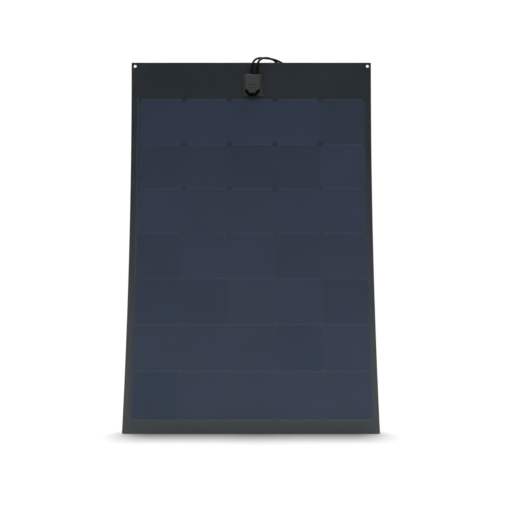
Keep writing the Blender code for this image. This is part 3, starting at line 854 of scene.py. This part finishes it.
        left_low, left_high = self.return_edges()
        end = self.span(1, 1)[1]
        low, high = (self.box_x - self.terminal_pitch + side * width / 2 for side in (-1, 1))
        outline = (
            (left_low, foot_low), (end, foot_low), (end, foot_high), (left_high, foot_high),
            (left_high, lead_low), (high, lead_low), (high, slot), (low, slot),
            (low, lead_high), (left_low, lead_high),
        )
        self.strip("return_ribbon", outline, "ribbon_negative", True)
        a, b = self.span(5, 5)
        low, high = (self.box_x + self.terminal_pitch + side * width / 2 for side in (-1, 1))
        outline = (
            (a, link_low), (b, link_low), (b, lead_high), (high, lead_high),
            (high, slot), (low, slot), (low, lead_low), (a, lead_low),
        )
        self.strip("lead_ribbon", outline, "ribbon_positive", False)
        for name, shift in (("negative", -1), ("tap", 0), ("positive", 1)):
            self.turned_up(f"ribbon_end_{name}", self.box_x + shift * self.terminal_pitch)

    def masking_strip(self) -> None:
        """The black strip that hides the ribbons crossing the top margin."""
        plan = self.plan
        top = self.mask_top
        low = plan.top_margin - self.clearance - self.ribbon_width - self.mask_gap
        left = self.return_edges()[0] - self.mask_side
        right = self.span(5, 5)[1] + self.mask_side
        outline = ((left, -low), (right, -low), (right, -top), (left, -top))
        piece = plan.wrap("masking_strip", plate(outline, *self.mask))
        self.palette.fit(piece, BLACK_ENCAPSULANT, "encapsulant")

    def return_edges(self) -> Point:
        """The two edges of the ribbon that runs up the left border, from the frame."""
        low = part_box("ribbon_negative")[0][0]
        return low, low + self.ribbon_width

    def build(self) -> None:
        """Make the cells, tabs and ribbons."""
        self.wafers()
        self.tabs()
        self.tapes()
        self.ribbons()
        self.masking_strip()


# ---- the junction box ----


@dataclass
class JunctionBox:
    """The box at the top edge, with what it holds."""

    plan: SheetPlan
    palette: Palette
    nodes: dict[str, Piece]
    x: float = 0.0034
    face: float = 0.0179
    # the two thin black strips on the lid are painted shade, standing in for the shade in its grooves
    groove_shade_width: float = 0.0205
    groove_shade_depths: Point = (-0.0006, 0.00004)
    boss_depths: Point = (-0.0003, 0.0011)
    end_round: float = 0.45
    groove_shades: tuple = (("lid_groove_shade_upper", 0.0657, 0.0016), ("lid_groove_shade_lower", 0.0737, 0.0009))
    bosses: tuple = (
        ("lid_boss_middle", 0.0023, 0.0782, 0.0062, 0.0022),
        ("lid_boss_right", 0.0128, 0.0782, 0.003, 0.0028),
        ("lid_boss_left", -0.0128, 0.0782, 0.003, 0.0028),
        ("lid_boss_lower", 0.001, 0.085, 0.0054, 0.002),
    )
    # outline and depths of the near-black band of painted shade round the lid's foot
    shade_band_outer: Outline = ((0.0205, 0.0134), (0.0205, 0.0094), (0.0142, 0.0026), (0.0102, -0.0028))
    shade_band_inner: Outline = ((0.0082, 0.0042), (0.01, 0.0086), (0.0142, 0.0126), (0.0152, 0.0134))
    shade_band_depths: Point = (0.0064, 0.0184)
    rim: Point = (0.004, 0.0066)
    rim_size: Place = (0.0026, 0.054, 0.0008)
    rim_place: Point = (0.0014, 0.065)
    ear_height: float = 0.0042
    ear_radius: float = 0.0014
    ear_down: float = 0.0912
    ear: Point = (0.0033, 0.005)
    seal_insets: Point = (0.0019, 0.0031)
    seal_depths: Point = (0.01592, 0.01638)
    bead_ends: Point = (-0.032, -0.095)
    bead: Point = (0.0024, 0.0033)

    def frame(self) -> Matrix:
        """The box's frame: X across, Y up, Z forward, origin at the top edge's rear."""
        turn = Matrix.Rotation(math.pi / 2, 4, "X")
        return Matrix.Translation((self.x, 0.0, self.plan.hole_inset)) @ turn

    def lid_outline(self, inset: float) -> list[Point]:
        """The lid's outline, drawn in by inset, from the frame's lid."""
        low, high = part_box("junction_box_lid")
        half = (high[0] - low[0]) / 2 - inset
        top = high[2] - self.plan.hole_inset - inset
        bottom = low[2] - self.plan.hole_inset + inset
        upper, lower = 0.002, 0.009 - inset * (2 - math.sqrt(2))
        right = [(half, bottom + lower), (half, top - upper), (half - upper, top)]
        left = [(-px, py) for px, py in reversed(right)]
        return right + left + [(lower - half, bottom), (half - lower, bottom)]

    def add(self, name: str, bm: Shape, finish: Finish, slot: str, body: str = ROOT) -> Piece:
        """Place a piece drawn in the box's frame."""
        return self.palette.fit(finish_object(name, bm, self.frame()), finish, slot, body)

    def shell(self) -> None:
        """The base and the lid, with every moulded edge rounded."""
        for node, name, body, width in (
            ("junction_box_base", "box_base", ROOT, 0.0005),
            ("junction_box_lid", "box_lid", "lid", 0.001),
        ):
            piece = copy_of(self.nodes[node], name)
            soften(piece, width)
            self.palette.fit(piece, BOX_MOULDING, "box", body, (node,))

    def lid_details(self) -> None:
        """The lid's bosses, two black lines of painted shade standing in for the shade in its grooves, and a
        near-black band of painted shade round its lower edge, where its lower wall lies in shadow.
        """
        low, high = (self.face + depth for depth in self.groove_shade_depths)
        # painted shade: thin black strips standing in for the shade in two grooves
        for name, down, height in self.groove_shades:
            radius = height * self.end_round
            groove_shade = plate(rounded(self.groove_shade_width, height, radius, (0.0, -down), 4), low, high)
            self.add(name, groove_shade, SEALANT_AND_GROOVE_SHADE, "box", "lid")
        low, high = (self.face + depth for depth in self.boss_depths)
        for name, x, down, width, height in self.bosses:
            boss = plate(rounded(width, height, height * self.end_round, (x, -down), 5), low, high)
            soften(self.add(name, boss, BOX_MOULDING, "box", "lid"), 0.0005)
        # painted shade: a near-black band round the lid's lower edge, where its lower wall lies in shadow
        foot = min(y for _, y in self.lid_outline(0.0))
        outer = [(x, foot + y) for x, y in self.shade_band_outer]
        inner = [(x, foot + y) for x, y in self.shade_band_inner]
        mirrored = [(-x, y) for x, y in reversed(inner + outer)]
        band = plate(outer + mirrored + inner, *self.shade_band_depths)
        soften(self.add("lid_foot_painted_shade", band, PAINTED_SHADE_BLACK, "boot", "lid"), 0.0004, 2)

    def flange_details(self) -> None:
        """The raised rims along the flange's sides and the ears at its foot."""
        low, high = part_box("junction_box_base")
        half = (high[0] - low[0]) / 2
        for sign, side, reach in ((-1, "left", 0.0022), (1, "right", 0.005)):
            middle = (sign * (half - self.rim_place[0]), -self.rim_place[1])
            rim = plate(rounded(*self.rim_size, middle, 4), *self.rim)
            soften(self.add(f"flange_rim_{side}", rim, BOX_MOULDING, "box"), 0.0006)
            middle = (sign * half, -self.ear_down)
            ear = plate(rounded(2 * reach, self.ear_height, self.ear_radius, middle, 4), *self.ear)
            soften(self.add(f"flange_ear_{side}", ear, BOX_MOULDING, "box"), 0.0004, 2)

    def seal(self) -> None:
        """The cord seal that lies round the box's rim, and the bead that bonds its flange."""
        outer, inner = (self.lid_outline(inset) for inset in self.seal_insets)
        rim = plate(outer, *self.seal_depths, [inner])
        self.add("lid_seal", rim, SEAL_RUBBER, "boot", "lid")
        low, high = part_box("junction_box_base")
        width = high[0] - low[0] + 0.0022
        top, bottom = self.bead_ends
        slot = rounded(0.031, 0.006, 0.001, (0.0, -0.08), 3)
        outline = rounded(width, top - bottom, 0.004, (0.0, (top + bottom) / 2))
        bead = plate(outline, *self.bead, [slot])
        soften(self.add("sealant_bead", bead, SEALANT_AND_GROOVE_SHADE, "boot"), 0.0004, 2)

    def inside(self) -> None:
        """The terminals, and the diodes with their bands."""
        for name in ("negative", "tap", "positive"):
            node = f"terminal_{name}"
            piece = copy_of(self.nodes[node], f"clip_{name}")
            soften(piece, 0.00015, 2)
            self.palette.fit(piece, TINNED_CLIP, "ribbon", ROOT, (node,))
        for index in (1, 2):
            node = f"bypass_diode_{index}"
            self.palette.dress(self.nodes[node], DIODE_EPOXY)
            low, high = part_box(node)
            middle = [(a + b) / 2 for a, b in zip(low, high)]
            radius = (high[1] - low[1]) / 2
            near, far, half = radius + 0.00002, radius + 0.00012, 0.0005
            band = turned(((near, -half), (far, -half), (far, half), (near, half)))
            place = Matrix.Translation((middle[0] + 0.0014, middle[1], middle[2]))
            matrix = place @ Matrix.Rotation(math.pi / 2, 4, "Y")
            piece = finish_object(f"diode_band_{index}", band, matrix)
            self.palette.fit(piece, DIODE_BAND, "diode")

    def build(self) -> None:
        """Make the box."""
        self.shell()
        self.lid_details()
        self.flange_details()
        self.seal()
        self.inside()


# ---- leads and connectors ----


# Profiles of (radius, height) on the lead's axis, from the top of the connector's nut.
NUT_PROFILE = (
    (0.0036, 0.0), (0.005, 0.0), (0.0055, -0.0004), (0.008, -0.0056),
    (0.0081, -0.0064), (0.0081, -0.0174), (0.0078, -0.0179), (0.0069, -0.0179),
    (0.0066, -0.0175), (0.0066, -0.0048), (0.0036, -0.0048),
)
PIN_PROFILE = (
    (0.0, -0.057), (0.0006, -0.0568), (0.001, -0.0555), (0.001, -0.04),
    (0.0022, -0.0395), (0.0022, -0.02), (0.0, -0.02),
)
SLEEVE_PROFILE = ((0.0011, -0.056), (0.0018, -0.056), (0.0018, -0.02), (0.0011, -0.02))


@dataclass
class Lead:
    """One lead: its route from the box, its boot, and the connector at its end."""

    name: str
    route: Sequence[Place]
    palette: Palette
    nodes: dict[str, Piece]
    length: float = 0.8
    radius: float = 0.003
    pitch: float = 0.005
    pieces_a_span: int = 16
    end_inside: float = 0.015
    cuff: float = 0.007
    flute_edge: float = 0.0002
    flute_depth: float = 0.0005
    grooves: int = 5

    def fine_route(self) -> list[Vector]:
        """A centripetal Catmull-Rom curve through the route, at an even pitch."""
        points = [Vector(p) for p in self.route]
        padded = [2 * points[0] - points[1], *points, 2 * points[-1] - points[-2]]
        fine: list[Vector] = []
        for a, b, c, d in zip(padded, padded[1:], padded[2:], padded[3:]):
            knots = [0.0]
            for p, q in ((a, b), (b, c), (c, d)):
                knots.append(knots[-1] + math.sqrt((q - p).length))
            for step in range(self.pieces_a_span):
                t = knots[1] + (knots[2] - knots[1]) * step / self.pieces_a_span
                level = [a, b, c, d]
                for width in (1, 2):
                    spans = [(knots[i], knots[i + width]) for i in range(len(level) - 1)]
                    pairs = zip(level, level[1:], spans)
                    level = [p.lerp(q, (t - low) / (high - low)) for p, q, (low, high) in pairs]
                fine.append(level[0].lerp(level[1], (t - knots[1]) / (knots[2] - knots[1])))
        fine.append(points[-1])
        return self.evenly(fine)

    def evenly(self, points: list[Vector]) -> list[Vector]:
        """Points at an even pitch along a fine polyline."""
        lengths = [0.0]
        for p, q in zip(points, points[1:]):
            lengths.append(lengths[-1] + (q - p).length)
        count = round(lengths[-1] / self.pitch)
        picked, index = [], 0
        for step in range(count + 1):
            wanted = lengths[-1] * step / count
            while index < len(points) - 2 and lengths[index + 1] < wanted:
                index += 1
            share = (wanted - lengths[index]) / (lengths[index + 1] - lengths[index])
            picked.append(points[index].lerp(points[index + 1], share))
        return picked

    def cable(self) -> Piece:
        """The cable, as a curve with a round section."""
        curve = bpy.data.curves.new(f"lead_{self.name}", "CURVE")
        curve.dimensions = "3D"
        curve.bevel_depth = self.radius
        curve.bevel_resolution = 6
        curve.use_fill_caps = True
        places = self.fine_route()
        spline = curve.splines.new("POLY")
        spline.points.add(len(places) - 1)
        for point, place in zip(spline.points, places):
            point.co = (*place, 1.0)
        spline.use_smooth = True
        piece = bpy.data.objects.new(f"lead_{self.name}", curve)
        link(piece)
        return self.palette.fit(piece, CABLE_JACKET, "jacket", ROOT, (f"cable_{self.name}",))

    def boot(self) -> Place:
        """The tapered boot with its flex grooves.

        Returns:
            The middle of its foot, where the lead leaves the box.
        """
        node = f"strain_relief_{self.name}"
        low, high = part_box(node)
        middle = ((low[0] + high[0]) / 2, (low[1] + high[1]) / 2, low[2])
        foot, height = (high[0] - low[0]) / 2, high[2] - low[2]
        tip, bore = foot - 0.0006, self.radius + 0.00025
        cuff, sleeve = foot + 0.0005, foot + 0.00015
        profile = [
            (bore, 0.0), (sleeve, 0.0), (sleeve, -self.cuff),
            (cuff - 0.0002, -self.cuff), (cuff, 0.0002 - self.cuff),
            (cuff, 0.0001), (cuff - 0.0003, 0.0004), (foot, 0.0004), (foot, height * 0.28),
        ]
        for index in range(self.grooves):
            base = height * (0.32 + 0.62 * index / self.grooves)
            span = height * 0.62 / self.grooves
            outer = foot + (tip - foot) * (index + 1) / self.grooves
            profile += [
                (outer - 0.0006, base), (outer - 0.0006, base + span * 0.36),
                (outer, base + span * 0.46), (outer, base + span * 0.94),
            ]
        profile += [(tip - 0.0002, height - 0.0003), (tip - 0.0005, height), (bore, height)]
        piece = finish_object(f"boot_{self.name}", turned(profile), Matrix.Translation(middle))
        self.palette.fit(piece, BOOT_RUBBER, "boot", ROOT, (node,))
        return middle

    def connector_frame(self) -> Matrix:
        """A frame on the lead's axis, at the top of the connector's nut."""
        end = Vector(self.route[-1])
        return Matrix.Translation((end.x, end.y, end.z + self.end_inside))

    def nut(self, node: str) -> Piece:
        """The gland nut, fluted for grip."""
        bm = turned(NUT_PROFILE)
        outer = []
        for face in bm.faces:
            centre = face.calc_center_median()
            if centre.xy.length > 0.0079 and -0.0174 < centre.z < -0.0064:
                outer.append((math.atan2(centre.y, centre.x), face))
        outer.sort(key=lambda pair: pair[0])
        flutes = [face for _, face in outer[::3]]
        bmesh.ops.inset_individual(bm, faces=flutes, thickness=self.flute_edge, depth=0.0)
        for face in flutes:
            centre = face.calc_center_median()
            inward = Vector((centre.x, centre.y, 0.0)).normalized() * -self.flute_depth
            bmesh.ops.translate(bm, verts=face.verts, vec=inward)
        piece = finish_object(f"gland_{node}", bm, self.connector_frame())
        return self.palette.fit(piece, CONNECTOR_NYLON, "connector", node, (node,))

    def barrel(self, node: str) -> Piece:
        """The connector's body, from the frame's, with its moulded edges rounded."""
        piece = copy_of(self.nodes[node], f"housing_{node}")
        soften(piece, 0.0004)
        return self.palette.fit(piece, CONNECTOR_NYLON, "connector", ROOT, (node,))

    def fittings(self, plug: bool) -> list[Piece]:
        """The contact in the connector, and the ring on a plug's nose."""
        if plug:
            turns = [2 * math.pi * i / 10 for i in range(10)]
            ring = [(0.0047 + 0.0006 * math.cos(a), -0.043 + 0.0006 * math.sin(a)) for a in turns]
            profiles = {"contact_sleeve": SLEEVE_PROFILE, "nose_ring": ring}
        else:
            profiles = {"contact_pin": PIN_PROFILE}
        made = []
        for name, profile in profiles.items():
            bm = turned(profile, 32, closed=name != "contact_pin")
            piece = finish_object(f"{name}_{self.name}", bm, self.connector_frame())
            finish = SEAL_RUBBER if name == "nose_ring" else CONTACT_TIN
            made.append(self.palette.fit(piece, finish, "connector"))
        return made

    def build(self, connector: str) -> None:
        """Make the lead and everything on it.

        Args:
            connector: plug or socket.
        """
        cable = self.cable()
        mouth = self.boot()
        on_cable = [self.nut(f"{connector}_nut"), self.barrel(f"{connector}_body")]
        on_cable += self.fittings(connector == "plug")


# Up out of its port, over the sheet's top edge to the right, and down behind the sheet.
NEGATIVE_ROUTE = (
    (0.0029, -0.0094, -0.036), (0.0029, -0.0094, -0.026), (0.0029, -0.0094, -0.016),
    (0.0029, -0.0094, -0.007), (0.0029, -0.0094, -0.0015), (0.0044, -0.0092, 0.0071),
    (0.0088, -0.008, 0.0146), (0.0155, -0.0056, 0.0201), (0.024, -0.0022, 0.0231),
    (0.039, 0.0042, 0.0242), (0.0535, 0.01, 0.0241), (0.066, 0.0146, 0.0225),
    (0.077, 0.0186, 0.0194), (0.087, 0.0218, 0.0149), (0.0965, 0.0245, 0.0089),
    (0.105, 0.0266, 0.0011), (0.112, 0.028, -0.0087), (0.117, 0.0287, -0.0197),
    (0.12, 0.029, -0.032), (0.1213, 0.0291, -0.046), (0.1215, 0.0291, -0.06),
    (0.1215, 0.0291, -0.12), (0.1215, 0.0291, -0.3), (0.1215, 0.0291, -0.652),
)
POSITIVE_ROUTE = (
    (0.0169, -0.0094, -0.036), (0.0169, -0.0094, -0.026), (0.0169, -0.0094, -0.016),
    (0.0169, -0.0094, -0.007), (0.0169, -0.0094, -0.0015), (0.0184, -0.0094, 0.0068),
    (0.0226, -0.0091, 0.0141), (0.0291, -0.0081, 0.0195), (0.037, -0.006, 0.0223),
    (0.045, -0.0033, 0.0227), (0.0535, 0.0002, 0.0218), (0.0618, 0.0038, 0.0191),
    (0.0686, 0.007, 0.0152), (0.0745, 0.0099, 0.01), (0.0798, 0.0127, 0.0026),
    (0.0838, 0.015, -0.0062), (0.0868, 0.0169, -0.017), (0.0885, 0.0181, -0.029),
    (0.0892, 0.0187, -0.042), (0.0893, 0.0189, -0.056), (0.0893, 0.0189, -0.12),
    (0.0893, 0.0189, -0.3), (0.0893, 0.0189, -0.6925),
)


# ---- the studio ----


@dataclass
class Studio:
    """The pale floor, the soft lights and the camera."""

    floor_height: float
    floor_size: float = 2.3
    floor_middle: tuple[float, float] = (0.0, 0.25)
    floor_colour: str = "#f7f7f7"
    seen_strength: float = 1.02
    fill_strength: float = 0.2
    lens: float = 54.0
    camera_place: Place = (0.0105, -2.141, -0.564)
    camera_pitch: float = 0.91

    def floor(self) -> None:
        """A wide pale floor, not part of the object."""
        bm = bmesh.new()
        bmesh.ops.create_grid(bm, x_segments=1, y_segments=1, size=self.floor_size / 2)
        bmesh.ops.translate(bm, verts=bm.verts, vec=(*self.floor_middle, self.floor_height))
        piece = finish_object("floor", bm)
        made = bpy.data.materials.new("studio_floor")
        made.use_nodes = True
        shader = made.node_tree.nodes["Principled BSDF"]
        shader.inputs["Base Color"].default_value = linear(self.floor_colour)
        shader.inputs["Roughness"].default_value = 0.9
        piece.data.materials.append(made)
        piece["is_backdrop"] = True

    def world(self) -> None:
        """A white surround that fills softly without washing out the gloss."""
        made = bpy.data.worlds.new("studio")
        made.use_nodes = True
        tree = made.node_tree
        path = add_node(tree, "LightPath")
        fill = self.fill_strength
        terms = {"operation": "MULTIPLY_ADD", 1: self.seen_strength - fill, 2: fill}
        strength = add_node(tree, "Math", terms, {0: path.outputs["Is Camera Ray"]})
        back = tree.nodes["Background"]
        back.inputs["Color"].default_value = linear("#ffffff")
        tree.links.new(strength.outputs["Value"], back.inputs["Strength"])
        bpy.context.scene.world = made

    def sun(
        self, name: str, azimuth: float, elevation: float, spread: float, strength: float,
        on_floor: bool = True,
    ) -> None:
        """One broad distant light.

        Args:
            name: its name.
            azimuth: the side it comes from in degrees; 0 is the front, 90 the right.
            elevation: its height above the horizon in degrees.
            spread: how many degrees it spans.
            strength: its strength in watts a square metre.
            on_floor: whether it lights the floor too.
        """
        data = bpy.data.lights.new(name, "SUN")
        data.angle = math.radians(spread)
        data.energy = strength
        lamp = bpy.data.objects.new(name, data)
        turn, rise = math.radians(azimuth), math.radians(elevation)
        level = math.cos(rise)
        away = Vector((math.sin(turn) * level, -math.cos(turn) * level, math.sin(rise)))
        lamp.rotation_euler = away.to_track_quat("Z", "Y").to_euler()
        link(lamp)
        if not on_floor:
            spared = bpy.data.collections.new(f"{name}_spares")
            spared.objects.link(bpy.data.objects["floor"])
            lamp.light_linking.receiver_collection = spared
            spared.collection_objects[0].light_linking.link_state = "EXCLUDE"

    def camera(self) -> None:
        """A camera in front of the sheet, tilted a little upwards."""
        data = bpy.data.cameras.new("camera")
        data.lens = self.lens
        camera = bpy.data.objects.new("camera", data)
        camera.location = self.camera_place
        camera.rotation_euler = (math.radians(90 + self.camera_pitch), 0.0, 0.0)
        link(camera)
        bpy.context.scene.camera = camera

    def build(self) -> None:
        """Set the stage."""
        self.floor()
        self.world()
        self.sun("over_light", azimuth=180.0, elevation=78.9, spread=8.5, strength=3.1)
        self.sun("key_light", 15.0, 60.0, spread=60.0, strength=0.8, on_floor=False)
        self.camera()
        bpy.context.scene.view_settings.view_transform = "Standard"


def clear_scene() -> None:
    """Remove what the startup file holds."""
    for piece in list(bpy.data.objects):
        bpy.data.objects.remove(piece, do_unlink=True)


def main() -> None:
    """Build the looks round the frame, in order."""
    logging.basicConfig(level=logging.INFO, format="%(message)s")
    clear_scene()
    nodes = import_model()["nodes"]
    cad_box = [list(map(float, corner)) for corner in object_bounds()]
    palette = Palette()
    plan = SheetPlan()
    Studio(floor_height=cad_box[0][2]).build()
    Lead("negative", NEGATIVE_ROUTE, palette, nodes).build("socket")
    Lead("positive", POSITIVE_ROUTE, palette, nodes).build("plug")
    Laminate(plan, palette).build()
    Strings(plan, palette).build()
    JunctionBox(plan, palette, nodes).build()


if __name__ == "__main__":
    main()
